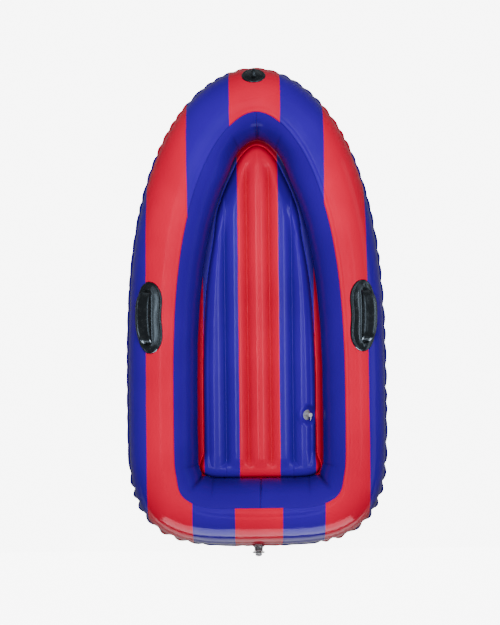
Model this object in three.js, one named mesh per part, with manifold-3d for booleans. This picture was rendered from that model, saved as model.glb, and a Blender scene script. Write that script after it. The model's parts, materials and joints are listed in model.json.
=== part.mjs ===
// Inflatable two-person dinghy, in millimetres.
// +Y points to the bow, +X to starboard and +Z up; it stands on z = 0.
//
// The hull is one air ring made of four welded PVC panels. Its shape comes from two
// plan curves, the outer seam and the inner wall, and an elliptical section between them.
// Inside the ring lies an air mat of five channels, kept flat by four upright webs.

import * as THREE from "three";
import Module from "manifold-3d";
import { mergeVertices } from "three/addons/utils/BufferGeometryUtils.js";

const wasm = await Module();
wasm.setup();

// ---- driving dimensions -------------------------------------------------------------

const FILM = 0.8; // PVC sheet thickness
const WELD_GAP = 0.3; // glue line between two lapped sheets

// Each plan curve is a bow half and a stern half, both superellipses: the exponents say
// how square the curve is across the boat and along it.
const OUTER_WALL = {
  beam: 491, widestY: -404,
  bow: { y: 909, across: 1.91, along: 3.05 },
  stern: { y: -909, across: 3.52, along: 3.79 },
};
const INNER_WALL = {
  beam: 238, widestY: -448,
  bow: { y: 637, across: 1.46, along: 2.99 },
  stern: { y: -658, across: 9, along: 6.6 },
};
const TUBE_HALF_HEIGHT = 135;
const TUBE_AXIS_Z = 132.9; // a little under the half height, so the tube rests on a flat strip
const HALF_STATIONS = 28; // sections from the bow tip to the middle of the stern

// Section angles in degrees: 0 is the outer seam, 90 the top, 180 the inner wall.
const TOP_SEAM = 111;
const FOOT_SEAM = 218;
const LAP = 3;
const FLANGE = 9; // width of the welded lip outside the outer seam

const CHANNEL_HALF = 43.5; // half the width of one floor channel
const VALLEYS = [-3, -1, 1, 3].map((n) => n * CHANNEL_HALF);
const RIM_COLUMNS = [237, 256]; // outside the last channel, as far as the mat reaches
const MAT_EDGE_GAP = 48; // from the mat's welded edge to where its channels start to rise
const MAT_SHOULDER = 45; // how far a channel end takes to reach full height
const MAT_INSET = 3; // clearance between the mat's edge and the tube
const MAT_SEAM_Z = 50;
const TOP_VALLEY = 17; // heights above the mat's seam
const TOP_CREST = 39;
const BOTTOM_VALLEY = 24; // depths below the mat's seam
const BOTTOM_CREST = 43;
const WEB_FILM = 0.6;
const WEB_END_GAP = 110;

const FITTING_GAP = 0.9; // between the tube's round skin and a fitting welded to it
const HANDLE_X = 397;
const HANDLE_Y = -28;
const HANDLE_HALF_LENGTH = 134;
const GRIP_HALF_LENGTH = 96;
const GRIP_RISE = 30;

const PATCH_Y = 864;
const PATCH_HALF = [45, 31]; // plan half widths, across and along the boat
const PATCH_GAP = 0.6; // between the hull's skin and the pad

const STERN_VALVE_Z = 165;
const STERN_HOLE = 13.2;
const FLOOR_VALVE = [194, -422];
const FLOOR_HOLE = 9.9;
const FLOOR_DISC_BEND = 62; // radius of the channel's crest under the valve

const RED = 0xe8303f;
const BLUE = 0x2626a8;
const BLACK = 0x202426;
const CLEAR = 0xd8dde2;
const WHITE = 0xe9ecee;

// ---- small helpers ------------------------------------------------------------------

const rad = THREE.MathUtils.degToRad;
const lerp = THREE.MathUtils.lerp;
const clamp = THREE.MathUtils.clamp;
const fractions = (n) => Array.from({ length: n + 1 }, (_, i) => i / n);

function material(color, roughness, opacity = 1) {
  return new THREE.MeshStandardMaterial({
    color, roughness, metalness: 0, opacity, transparent: opacity < 1,
  });
}

const vinylBlue = material(BLUE, 0.22);
const vinylRed = material(RED, 0.22);
const mouldedBlack = material(BLACK, 0.3);
const clearVinyl = material(CLEAR, 0.15, 0.6);
const whiteVinyl = material(WHITE, 0.3);

const boat = new THREE.Group();

function addPart(name, geometry, surface, parent = boat) {
  const mesh = new THREE.Mesh(geometry, surface);
  mesh.name = name;
  parent.add(mesh);
  return mesh;
}

// Six times the volume that a triangle and the origin enclose.
function signedVolume(a, b, c) {
  return a[0] * (b[1] * c[2] - b[2] * c[1])
    - a[1] * (b[0] * c[2] - b[2] * c[0])
    + a[2] * (b[0] * c[1] - b[1] * c[0]);
}

// A closed body from points and triangles, turned so that its faces point out.
function closedBody(points, triangles) {
  let volume = 0;
  for (const [a, b, c] of triangles) volume += signedVolume(points[a], points[b], points[c]);
  const outward = volume > 0 ? triangles : triangles.map(([a, b, c]) => [a, c, b]);
  const geometry = new THREE.BufferGeometry();
  geometry.setAttribute("position", new THREE.Float32BufferAttribute(points.flat(), 3));
  geometry.setIndex(outward.flat());
  return geometry;
}

// A sheet with two faces, each a grid of points[row][column], joined round its edges.
// A ring has no first and last row: its rows close on themselves.
function sheetBody(face, back, ring = false) {
  const rows = face.length;
  const columns = face[0].length;
  const points = [...face.flat(), ...back.flat()];
  const front = (i, j) => (i % rows) * columns + j;
  const rear = (i, j) => rows * columns + front(i, j);
  const triangles = [];
  const quad = (a, b, c, d) => triangles.push([a, b, c], [a, c, d]);
  const spans = ring ? rows : rows - 1;
  for (let i = 0; i < spans; i++) {
    for (let j = 0; j < columns - 1; j++) {
      quad(front(i, j), front(i + 1, j), front(i + 1, j + 1), front(i, j + 1));
      quad(rear(i, j), rear(i, j + 1), rear(i + 1, j + 1), rear(i + 1, j));
    }
    const last = columns - 1;
    quad(front(i, 0), rear(i, 0), rear(i + 1, 0), front(i + 1, 0));
    quad(front(i, last), front(i + 1, last), rear(i + 1, last), rear(i, last));
  }
  if (!ring) {
    const last = rows - 1;
    for (let j = 0; j < columns - 1; j++) {
      quad(front(0, j), front(0, j + 1), rear(0, j + 1), rear(0, j));
      quad(front(last, j), rear(last, j), rear(last, j + 1), front(last, j + 1));
    }
  }
  return closedBody(points, triangles);
}

function toSolid(geometry) {
  const bare = geometry.clone();
  bare.deleteAttribute("normal");
  bare.deleteAttribute("uv");
  const merged = mergeVertices(bare, 1e-4);
  const mesh = new wasm.Mesh({
    numProp: 3,
    vertProperties: new Float32Array(merged.attributes.position.array),
    triVerts: new Uint32Array(merged.index.array),
  });
  return new wasm.Manifold(mesh);
}

function fromSolid(solid) {
  const mesh = solid.getMesh();
  const geometry = new THREE.BufferGeometry();
  geometry.setAttribute("position", new THREE.BufferAttribute(mesh.vertProperties, 3));
  geometry.setIndex(new THREE.BufferAttribute(mesh.triVerts, 1));
  return geometry;
}

// Cuts a round hole square through a sheet, centred on a valve's axis.
function cutHole(sheet, valve, radius) {
  const drill = pillar(radius, -20, 20);
  valve.updateMatrixWorld();
  drill.applyMatrix4(valve.matrixWorld);
  return fromSolid(toSolid(sheet).subtract(toSolid(drill)));
}

// ---- the air tube's shape -----------------------------------------------------------

// A point of a plan curve and its outward normal; t runs 0 at the bow tip, 1 at the
// widest place and 2 in the middle of the stern.
function planPoint(curve, t) {
  const end = t < 1 ? curve.bow : curve.stern;
  const angle = Math.abs(1 - t) * (Math.PI / 2);
  const length = end.y - curve.widestY;
  const across = Math.max(Math.cos(angle), 0) ** (2 / end.across);
  const along = Math.sin(angle) ** (2 / end.along);
  const normal = new THREE.Vector2(
    (end.across * across ** (end.across - 1)) / curve.beam,
    (end.along * along ** (end.along - 1)) / length,
  ).normalize();
  const point = new THREE.Vector2(curve.beam * across, curve.widestY + length * along);
  return { point, normal };
}

function insideCurve(curve, p) {
  const end = p.y > curve.widestY ? curve.bow : curve.stern;
  const along = (p.y - curve.widestY) / (end.y - curve.widestY);
  return (Math.abs(p.x) / curve.beam) ** end.across + along ** end.along < 1;
}

// The section that stands square on the inner wall at t and reaches the outer wall.
function sectionFrom(t) {
  const { point, normal } = planPoint(INNER_WALL, t);
  let near = 0;
  let far = 800;
  for (let step = 0; step < 40; step++) {
    const middle = (near + far) / 2;
    const trial = point.clone().addScaledVector(normal, middle);
    if (insideCurve(OUTER_WALL, trial)) near = middle;
    else far = middle;
  }
  const radius = near / 2;
  return { centre: point.clone().addScaledVector(normal, radius), normal, radius };
}

// Sections evenly spaced along the tube's centre line, from bow tip to stern on starboard.
function evenSections(count) {
  const fine = fractions(1200).map((f) => sectionFrom(2 * f));
  const travelled = [0];
  for (let i = 1; i < fine.length; i++) {
    travelled.push(travelled[i - 1] + fine[i].centre.distanceTo(fine[i - 1].centre));
  }
  const total = travelled[travelled.length - 1];
  return fractions(count).map((f) => {
    const next = Math.max(1, travelled.findIndex((d) => d >= f * total - 1e-9));
    const part = (f * total - travelled[next - 1]) / (travelled[next] - travelled[next - 1]);
    return blendSections(fine[next - 1], fine[next], part);
  });
}

function blendSections(one, other, part) {
  return {
    centre: one.centre.clone().lerp(other.centre, part),
    normal: one.normal.clone().lerp(other.normal, part).normalize(),
    radius: lerp(one.radius, other.radius, part),
  };
}

function mirrored({ centre, normal, radius }) {
  return {
    centre: new THREE.Vector2(-centre.x, centre.y),
    normal: new THREE.Vector2(-normal.x, normal.y),
    radius,
  };
}

const starboard = evenSections(HALF_STATIONS);
const port = starboard.map(mirrored);
const ring = [...starboard, ...port.slice(1, -1).reverse()];

// A point on the tube's skin, or a little inside it, at an angle of the section.
function skinPoint(section, degrees, inset = 0) {
  const angle = rad(degrees);
  const out = (section.radius - inset) * Math.cos(angle);
  const z = TUBE_AXIS_Z + (TUBE_HALF_HEIGHT - inset) * Math.sin(angle);
  return [
    section.centre.x + section.normal.x * out,
    section.centre.y + section.normal.y * out,
    Math.max(z, inset),
  ];
}

// A point of the flat lip, at a distance outside the tube's widest line.
function lipPoint(section, reach, z) {
  const out = section.radius + reach;
  return [
    section.centre.x + section.normal.x * out,
    section.centre.y + section.normal.y * out,
    z,
  ];
}

// The tube's section at a place in plan, blended between the two nearest stations.
function sectionAt(x, y) {
  const p = new THREE.Vector2(Math.abs(x), y);
  const side = (s) => s.normal.cross(p.clone().sub(s.centre));
  let i = 0;
  while (i < starboard.length - 2 && side(starboard[i + 1]) < 0) i++;
  const before = Math.abs(side(starboard[i]));
  const after = Math.abs(side(starboard[i + 1]));
  const section = blendSections(starboard[i], starboard[i + 1], before / (before + after));
  const offset = p.clone().sub(section.centre).dot(section.normal);
  return { section, offset };
}

// Height of the tube's top skin over a place in plan.
function hullTop(x, y) {
  const { section, offset } = sectionAt(x, y);
  const share = clamp(offset / section.radius, -1, 1);
  return TUBE_AXIS_Z + TUBE_HALF_HEIGHT * Math.sqrt(1 - share * share);
}

function hullNormal(x, y) {
  const step = 4;
  const slopeX = (hullTop(x + step, y) - hullTop(x - step, y)) / (2 * step);
  const slopeY = (hullTop(x, y + step) - hullTop(x, y - step)) / (2 * step);
  return new THREE.Vector3(-slopeX, -slopeY, 1).normalize();
}

// A point at a height above the hull's skin, measured square to it.
function aboveHull(x, y, height) {
  const normal = hullNormal(x, y);
  return [x, y, hullTop(x, y)].map((value, i) => value + height * normal.getComponent(i));
}

// ---- hull panels --------------------------------------------------------------------

function topPanel() {
  const angles = [...fractions(5).map((f) => f * (TOP_SEAM - LAP)), TOP_SEAM];
  const low = TUBE_AXIS_Z + WELD_GAP / 2;
  const face = ring.map((s) => [
    lipPoint(s, FLANGE, low + FILM),
    lipPoint(s, 0.5, low + FILM),
    ...angles.slice(1).map((angle) => skinPoint(s, angle)),
  ]);
  const back = ring.map((s) => [
    lipPoint(s, FLANGE, low),
    lipPoint(s, -FILM, low),
    ...angles.slice(1).map((angle) => skinPoint(s, angle, FILM)),
  ]);
  return sheetBody(face, back, true);
}

function bottomPanel() {
  const angles = [342, 318, 298, 280, 260, 246, 232, FOOT_SEAM + LAP, FOOT_SEAM];
  const high = TUBE_AXIS_Z - WELD_GAP / 2;
  const face = ring.map((s) => [
    lipPoint(s, FLANGE, high - FILM),
    lipPoint(s, 0.5, high - FILM),
    ...angles.map((angle) => skinPoint(s, angle)),
  ]);
  const back = ring.map((s) => [
    lipPoint(s, FLANGE, high),
    lipPoint(s, -FILM, high),
    ...angles.map((angle) => skinPoint(s, angle, FILM)),
  ]);
  return sheetBody(face, back, true);
}

// The inner wall is two strips that meet at the bow and the stern. Their long edges lap
// under the top and bottom panels.
function innerPanel(sections, side) {
  const depth = FILM + WELD_GAP;
  const visible = fractions(5).map((f) => lerp(TOP_SEAM, FOOT_SEAM, f));
  const angles = [TOP_SEAM - LAP, ...visible, FOOT_SEAM + LAP];
  const keepOff = ([x, y, z]) => [side * Math.max(side * x, WELD_GAP), y, z];
  const face = sections.map((s) => angles.map((angle) => keepOff(skinPoint(s, angle, depth))));
  const back = sections.map((s) => {
    return angles.map((angle) => keepOff(skinPoint(s, angle, depth + FILM)));
  });
  return sheetBody(face, back);
}

// ---- floor mat ----------------------------------------------------------------------

// The mat's welded edge on starboard, from bow to stern, just inside the tube's foot seam.
const matEdge = starboard.map((s) => {
  const out = s.radius * Math.cos(rad(FOOT_SEAM)) - MAT_INSET;
  return s.centre.clone().addScaledVector(s.normal, out);
});

// Where the line at x crosses the mat's edge, looking from one end of the boat.
function edgeY(x, end) {
  const line = end === "bow" ? matEdge : [...matEdge].reverse();
  const next = line.findIndex((p, i) => i > 0 && p.x >= Math.abs(x));
  const [a, b] = [line[next - 1], line[next]];
  return lerp(a.y, b.y, (Math.abs(x) - a.x) / (b.x - a.x));
}

function distanceToEdge(x, y) {
  const p = new THREE.Vector3(Math.abs(x), y, 0);
  const closest = new THREE.Vector3();
  const distances = matEdge.slice(1).map((b, i) => {
    const a = matEdge[i];
    const span = new THREE.Line3(new THREE.Vector3(a.x, a.y, 0), new THREE.Vector3(b.x, b.y, 0));
    return span.closestPointToPoint(p, true, closest).distanceTo(p);
  });
  return Math.min(...distances);
}

// How far a channel has risen at a place: 0 on the welded edge, 1 clear of its ends.
function swell(x, y) {
  const u = clamp((distanceToEdge(x, y) - MAT_EDGE_GAP) / MAT_SHOULDER, 0, 1);
  return Math.sqrt(1 - (1 - u) ** 2);
}

// 0 in the valley between two channels, 1 on a channel's crest.
function crown(x) {
  const along = x / (2 * CHANNEL_HALF);
  const u = 2 * (along - Math.round(along));
  return Math.abs(x) > 5 * CHANNEL_HALF ? 0 : 1 - u * u;
}

function matColumns() {
  const inner = [];
  for (let n = -5; n < 5; n += 2) {
    for (const f of [0, 0.2, 0.5, 0.8]) inner.push((n + 2 * f) * CHANNEL_HALF);
  }
  const port = RIM_COLUMNS.map((x) => -x).reverse();
  return [...port, ...inner, 5 * CHANNEL_HALF, ...RIM_COLUMNS];
}

// Walks along the line at x from one end, until it is a given distance from the edge or
// has gone as far as allowed.
function stepInside(x, end, distance, furthest) {
  const step = end === "bow" ? -3 : 3;
  const start = edgeY(x, end);
  let y = start;
  while (distanceToEdge(x, y) < distance && Math.abs(y - start) < furthest) y += step;
  return y;
}

// Each line at x has rows that follow the mat's edge at both ends and spread out between.
function matGrid(height) {
  const steps = [0, 47, 54, 68, 95];
  return matColumns().map((x) => {
    const length = edgeY(x, "bow") - edgeY(x, "stern");
    const rows = (end) => steps.map((step, i) => stepInside(x, end, step, 0.085 * i * length));
    const stern = rows("stern");
    const bow = rows("bow").reverse();
    const middle = [0.25, 0.5, 0.75].map((f) => lerp(stern[stern.length - 1], bow[0], f));
    return [...stern, ...middle, ...bow].map((y) => [x, y, height(x, y)]);
  });
}

function matTop(x, y) {
  return MAT_SEAM_Z + WELD_GAP / 2 + swell(x, y) * lerp(TOP_VALLEY, TOP_CREST, crown(x));
}

function topSheet() {
  return sheetBody(matGrid((x, y) => matTop(x, y) + FILM), matGrid(matTop));
}

function bottomSheet() {
  const base = MAT_SEAM_Z - WELD_GAP / 2;
  const height = (x, y) => base - swell(x, y) * lerp(BOTTOM_VALLEY, BOTTOM_CREST, crown(x));
  return sheetBody(matGrid((x, y) => height(x, y) - FILM), matGrid(height));
}

function web(x) {
  const low = MAT_SEAM_Z - BOTTOM_VALLEY + WELD_GAP;
  const high = MAT_SEAM_Z + TOP_VALLEY - WELD_GAP;
  const stern = stepInside(x, "stern", WEB_END_GAP, Infinity);
  const bow = stepInside(x, "bow", WEB_END_GAP, Infinity);
  const strip = new THREE.BoxGeometry(WEB_FILM, bow - stern, high - low);
  strip.translate(x, (bow + stern) / 2, (low + high) / 2);
  return strip;
}

// ---- handles and bow patch ----------------------------------------------------------

// Half widths of the kidney-shaped foot at a share s of its half length, -1 to 1.
function footWidths(s) {
  const outboard = 52 * Math.sqrt(1 - s * s);
  const waist = Math.abs(s) < 0.75 ? 9 * Math.cos((s / 0.75) * (Math.PI / 2)) ** 2 : 0;
  const inboard = 55 * (1 - Math.abs(s) ** 3.2) ** 0.45 - waist;
  return { outboard, inboard };
}

// The foot is a plate that follows the tube, with a rounded rim and a low ridge inboard.
function handleFoot(side) {
  const shares = [-76, -60, -42, -24, -8, 8, 24, 42, 60, 76].map((a) => Math.sin(rad(a)));
  const profile = [
    [0, 2], [0.12, 5], [0.26, 7], [0.4, 10], [0.52, 5], [0.7, 5], [0.88, 5], [1, 2],
  ];
  const grid = (height) => shares.map((s) => {
    const { outboard, inboard } = footWidths(s);
    return profile.map(([f, rise]) => {
      const x = side * (HANDLE_X + lerp(-inboard, outboard, f));
      return aboveHull(x, HANDLE_Y + s * HANDLE_HALF_LENGTH, height(rise));
    });
  });
  return sheetBody(grid((rise) => FITTING_GAP + rise), grid(() => FITTING_GAP));
}

// The grip is a flat strap that arches over the foot's outboard half.
function handleGrip(side) {
  const shares = [-1, -0.93, -0.8, -0.6, -0.3, 0, 0.3, 0.6, 0.8, 0.93, 1];
  const across = [[2, 3.5], [10, 5.5], [26, 5.5], [34, 3.5]];
  const grid = (thick) => shares.map((s) => {
    const rise = 6.2 + GRIP_RISE * (1 - s ** 4);
    return across.map(([offset, thickness]) => {
      const x = side * (HANDLE_X + offset);
      const height = rise + (thick ? thickness : 0);
      return aboveHull(x, HANDLE_Y + s * GRIP_HALF_LENGTH, height);
    });
  });
  return sheetBody(grid(true), grid(false));
}

// A round pad on the bow. Rows run round it and columns from its middle to its rim.
function bowPatch() {
  const turns = fractions(20).slice(0, -1);
  const grid = (profile) => turns.map((f) => profile.map(([share, height]) => {
    const x = share * PATCH_HALF[0] * Math.cos(2 * Math.PI * f);
    const y = PATCH_Y + share * PATCH_HALF[1] * Math.sin(2 * Math.PI * f);
    return aboveHull(x, y, height);
  }));
  const face = grid([[0.12, 4.6], [0.5, 4.6], [0.9, 4], [1, 2]]);
  const back = grid([0.12, 0.5, 0.9, 1].map((share) => [share, PATCH_GAP]));
  return sheetBody(face, back, true);
}

// A half ring of round section that stands on the patch, its eye open to both sides.
function ropeLoop() {
  const arc = new THREE.Path();
  arc.moveTo(-13, 0);
  arc.lineTo(-13, 6);
  arc.absarc(0, 6, 13, Math.PI, 0, true);
  arc.lineTo(13, 0);
  const points = arc.getSpacedPoints(16).map((p) => new THREE.Vector3(0, p.x, p.y));
  const path = new THREE.CatmullRomCurve3(points);
  const section = new THREE.Shape().absellipse(0, 0, 5, 7, 0, 2 * Math.PI);
  return new THREE.ExtrudeGeometry(section, {
    steps: 18, extrudePath: path, curveSegments: 5, bevelEnabled: false,
  });
}

// A group whose +Z stands square on the hull at a place in plan.
function standOnHull(x, y, height) {
  const group = new THREE.Group();
  group.position.set(...aboveHull(x, y, height));
  group.quaternion.setFromUnitVectors(new THREE.Vector3(0, 0, 1), hullNormal(x, y));
  boat.add(group);
  return group;
}

// ---- valves -------------------------------------------------------------------------

// A turned part: its profile is a closed list of [radius, height].
function turned(profile, segments = 20) {
  const points = [...profile, profile[0]].map(([r, z]) => new THREE.Vector2(r, z));
  const geometry = new THREE.LatheGeometry(points, segments);
  geometry.rotateX(Math.PI / 2);
  return geometry;
}

function pillar(radius, low, high, segments = 20) {
  const geometry = new THREE.CylinderGeometry(radius, radius, high - low, segments);
  geometry.rotateX(Math.PI / 2);
  geometry.translate(0, 0, (low + high) / 2);
  return geometry;
}

// Bends a flat piece down to both sides, so that it lies on a crest that runs along Y.
function bentDown(geometry, radius) {
  const position = geometry.attributes.position;
  for (let i = 0; i < position.count; i++) {
    const x = position.getX(i);
    position.setZ(i, position.getZ(i) - (x * x) / (2 * radius));
  }
  return geometry;
}

// A strap whose edge view is a list of [along, height], of even thickness and width.
function strap(points, width, thickness) {
  const face = points.map(([x, z]) => [[x, -width / 2, z + thickness], [x, width / 2, z + thickness]]);
  const back = points.map(([x, z]) => [[x, -width / 2, z], [x, width / 2, z]]);
  return sheetBody(face, back);
}

// Stern valve: a welded neck, a body that pulls out of it to let the air out, a flap that
// stops air from flowing back, and a plug cap with a seal under its rim.
const sternNeck = turned([[13.2, 0], [21.5, 0], [21.5, 3], [16.5, 4.5], [16.5, 19], [13.2, 19]]);
const sternBody = turned([
  [9, -9], [7, -9], [7, -11], [12.9, -11], [12.9, 19.3], [16.5, 19.3], [16.5, 21.5], [9, 21.5],
]);
const sternFlap = pillar(8.4, -13.3, -11.5);
const sternSeal = turned([[9, 21.8], [21, 21.8], [21.5, 23], [21, 24.4], [9, 24.4]]);
const sternCap = turned([
  [0, 8], [8.7, 8], [8.7, 24.7], [12.5, 24.7], [12.2, 28], [10, 31.5], [6, 33.4], [0, 34],
]);

// Floor valve: a welded disc, a soft stem that pushes in, a flap and a plug on a strap.
const floorDisc = bentDown(turned([
  [9.6, 0], [14, 0], [20, 0], [20, 0.9], [14, 1.2], [11.6, 1.8], [11.6, 3], [9.6, 3],
]), FLOOR_DISC_BEND);
const floorStem = turned([[6, -6], [9.3, -6], [9.3, 16], [8.6, 18], [6, 18]]);
const floorFlap = pillar(7.6, -7.7, -6.3);
const floorPlug = turned([[0, 10], [5.7, 10], [5.7, 18.3], [9, 18.3], [9, 20.5], [0, 20.5]]);
const floorStrap = strap([[9.4, 18.6], [14, 20], [18.5, 19], [21, 16]], 5, 1.2);
floorStrap.rotateZ(-Math.PI / 2);

// ---- assembly -----------------------------------------------------------------------

// Angle of the hull's skin at the stern valve, and the frame in which the valve is built.
const stern = starboard[starboard.length - 1];
const lift = Math.asin((STERN_VALVE_Z - TUBE_AXIS_Z) / TUBE_HALF_HEIGHT);
const sternValve = new THREE.Group();
sternValve.position.set(0, stern.centre.y - stern.radius * Math.cos(lift), STERN_VALVE_Z);
sternValve.rotation.x = Math.PI / 2 - Math.atan(Math.tan(lift) * (stern.radius / TUBE_HALF_HEIGHT));
sternValve.translateZ(2.2);
boat.add(sternValve);

const floorValve = new THREE.Group();
const [valveX, valveY] = FLOOR_VALVE;
const valveSlope = matTop(valveX + 1, valveY) - matTop(valveX, valveY);
floorValve.position.set(valveX, valveY, matTop(valveX, valveY) + FILM);
floorValve.rotation.y = -Math.atan(valveSlope);
floorValve.translateZ(1.3);
boat.add(floorValve);

addPart("hull_top_panel", cutHole(topPanel(), sternValve, STERN_HOLE), vinylBlue);
addPart("hull_bottom_panel", bottomPanel(), vinylBlue);
addPart("hull_inner_panel_starboard", innerPanel(starboard, 1), vinylBlue);
addPart("hull_inner_panel_port", innerPanel(port, -1), vinylBlue);
addPart("floor_top_sheet", cutHole(topSheet(), floorValve, FLOOR_HOLE), vinylRed);
addPart("floor_bottom_sheet", bottomSheet(), vinylBlue);
VALLEYS.forEach((x, i) => addPart(`floor_web_${i + 1}`, web(x), vinylBlue));

for (const [name, side] of [["port", -1], ["starboard", 1]]) {
  addPart(`handle_foot_${name}`, handleFoot(side), mouldedBlack);
  addPart(`handle_grip_${name}`, handleGrip(side), mouldedBlack);
}

addPart("bow_patch", bowPatch(), mouldedBlack);
addPart("bow_rope_loop", ropeLoop(), mouldedBlack, standOnHull(0, PATCH_Y, 5.6));

addPart("stern_valve_neck", sternNeck, clearVinyl, sternValve);
addPart("stern_valve_body", sternBody, clearVinyl, sternValve);
addPart("stern_valve_flap", sternFlap, clearVinyl, sternValve);
addPart("stern_valve_seal", sternSeal, mouldedBlack, sternValve);
addPart("stern_valve_cap", sternCap, clearVinyl, sternValve);

addPart("floor_valve_disc", floorDisc, clearVinyl, floorValve);
addPart("floor_valve_stem", floorStem, clearVinyl, floorValve);
addPart("floor_valve_flap", floorFlap, clearVinyl, floorValve);
addPart("floor_valve_plug", floorPlug, whiteVinyl, floorValve);
addPart("floor_valve_strap", floorStrap, whiteVinyl, floorValve);

// The origin is the middle of the boat's box, on the ground.
const box = new THREE.Box3().setFromObject(boat, true);
boat.position.y = -(box.min.y + box.max.y) / 2;

export default boat;
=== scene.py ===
"""Inflatable dinghy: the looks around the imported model.

Shapes are worked out in millimetres in the hull's own frame: X to starboard, Y towards the
bow, Z up. make_object turns them into metres in the CAD's frame. The studio is in metres.
"""

import json
import math

import bpy
import numpy as np
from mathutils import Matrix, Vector


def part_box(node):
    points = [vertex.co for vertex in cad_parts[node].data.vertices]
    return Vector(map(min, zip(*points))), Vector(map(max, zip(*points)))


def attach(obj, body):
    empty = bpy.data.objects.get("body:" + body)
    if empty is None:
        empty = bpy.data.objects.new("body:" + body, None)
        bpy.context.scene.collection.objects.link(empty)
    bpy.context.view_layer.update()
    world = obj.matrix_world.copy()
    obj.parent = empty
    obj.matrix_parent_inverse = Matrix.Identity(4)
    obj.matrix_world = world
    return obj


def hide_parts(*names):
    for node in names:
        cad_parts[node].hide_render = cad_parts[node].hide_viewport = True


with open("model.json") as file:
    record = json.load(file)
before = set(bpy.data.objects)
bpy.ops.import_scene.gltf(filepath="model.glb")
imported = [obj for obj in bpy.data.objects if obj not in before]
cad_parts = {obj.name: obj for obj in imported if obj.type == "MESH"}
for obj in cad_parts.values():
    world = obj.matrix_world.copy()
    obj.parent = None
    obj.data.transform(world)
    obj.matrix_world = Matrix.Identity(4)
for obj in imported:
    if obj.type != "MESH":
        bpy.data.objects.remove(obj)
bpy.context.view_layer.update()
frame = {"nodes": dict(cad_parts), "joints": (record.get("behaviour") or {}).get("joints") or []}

MM = 0.001

# ---- driving dimensions, as in the CAD model --------------------------------------------

FILM = 0.8  # thickness of the PVC
WELD_GAP = 0.3  # between two sheets that are welded together
# Plan curves: the half beam, where it is widest, and for each end its Y and two exponents.
OUTER_WALL = dict(beam=491, widest_y=-404, bow=(909, 1.91, 3.05), stern=(-909, 3.52, 3.79))
INNER_WALL = dict(beam=238, widest_y=-448, bow=(637, 1.46, 2.99), stern=(-658, 9.0, 6.6))
HALF_HEIGHT = 135.0
AXIS_Z = 132.9
TOP_SEAM = 111.0  # degrees round the tube's section from the outer weld
FOOT_SEAM = 218.0
LAP = 3.0  # degrees by which the inner wall laps under the other panels
FLANGE = 9.0  # width of the welded lip
CHANNEL_HALF = 43.5  # half the width of one of the mat's channels
MAT_SEAM_Z = 50.0
HANDLE_X = 397.0
HANDLE_Y = -28.0
FOOT_HALF_LENGTH = 134.0
GRIP_HALF_LENGTH = 96.0
GRIP_RISE = 30.0
PATCH_Y = 864.0
PATCH_HALF = (45.0, 31.0)
FITTING_GAP = 0.9  # between the tube's skin and what is welded to it

# ---- where the looks differ from the CAD model ------------------------------------------

DRIFT = 12.0  # the photographed cockpit lies this far to starboard of the outer weld
MAT_DRIFT = DRIFT * (1 - math.cos(math.radians(FOOT_SEAM))) / 2
MAT_LAP = 1.8  # the mat's edge laps this far into the wall's foot, so no gap shows
VALVE_HOLE = 12.5  # radius of the hole in the mat that the floor valve's stem sinks into
HANDLE_AFT = 9.0  # the photographed handles sit this far aft of the CAD's
STERN_SEAM_TURN = 5  # degrees by which the photographed top seam is further aft

# ---- sizes that only the looks need -----------------------------------------------------

SECTION_RADIUS = 131  # of the tube, for lengths measured round its section
STATIONS = 960  # sections round the ring
HALF_RING = STATIONS // 2  # sections from the bow tip to the middle of the stern
FAR_SECTION = 190  # a place in plan isn't on a section whose middle is further off
RANDOM_SEED = 11

# The axis of each valve: its sliding joint, its flap's hinge, and how far that hinge is off
# the valve's axis and below its foot.
STERN_VALVE = ("stern_body_pull", "stern_flap_swing", 8.4, 11.5)
FLOOR_VALVE = ("floor_stem_push", "floor_flap_swing", 7.6, 6.3)
DISC_BEND_RADIUS = 62  # the floor valve's disc bends over a mat channel
SEAT_BEND_RADIUS = 85  # and the mat under it bends less
SEAT_DROP = 2.9  # from the valve's foot down to the mat

rng = np.random.default_rng(RANDOM_SEED)

# The hull's middle lies a little forward of the frame's origin, because the frame's box
# takes in the stern valve.
panel_low, panel_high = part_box("hull_top_panel")
HULL_Y = (panel_low.y + panel_high.y) / 2 / MM


# ---- small helpers ----------------------------------------------------------------------


def smooth(value, low, high):
    """0 below low, 1 above high and a smooth step between; low may be above high."""
    t = np.clip((value - low) / (high - low), 0, 1)
    return t * t * (3 - 2 * t)


def bell(distance, width):
    """1 where distance is 0, falling to nothing a few widths away."""
    return np.exp(-((distance / width) ** 2))


def unit(vectors):
    length = np.linalg.norm(vectors, axis=-1, keepdims=True)
    return vectors / np.maximum(length, 1e-9)


def ring_noise(count, slowest, fastest):
    """Smooth noise of about -1 to 1 that repeats after one turn of the ring."""
    turn = np.linspace(0, 2 * math.pi, count, endpoint=False)
    total = np.zeros(count)
    for waves in range(slowest, fastest + 1):
        total += rng.normal() * np.sin(waves * turn + rng.uniform(0, 2 * math.pi))
    return total / (np.abs(total).max() + 1e-9)


def make_object(name, points, faces, materials, face_materials=None):
    """A smooth-shaded mesh object from points in the hull's own millimetres."""
    mesh = bpy.data.meshes.new(name)
    placed = (np.asarray(points, float).reshape(-1, 3) + (0, HULL_Y, 0)) * MM
    mesh.from_pydata(placed.tolist(), [], faces)
    mesh.polygons.foreach_set("use_smooth", np.ones(len(faces), bool))
    for material in materials:
        mesh.materials.append(material)
    if face_materials is not None:
        mesh.polygons.foreach_set("material_index", np.asarray(face_materials, np.int32))
    mesh.update()
    obj = bpy.data.objects.new(name, mesh)
    bpy.context.scene.collection.objects.link(obj)
    return obj


def finish_piece(obj, material_slot, *nodes, body="boat"):
    """Says what a piece rides on, which CAD nodes it replaces."""
    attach(obj, body)
    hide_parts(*nodes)
    return obj


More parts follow.
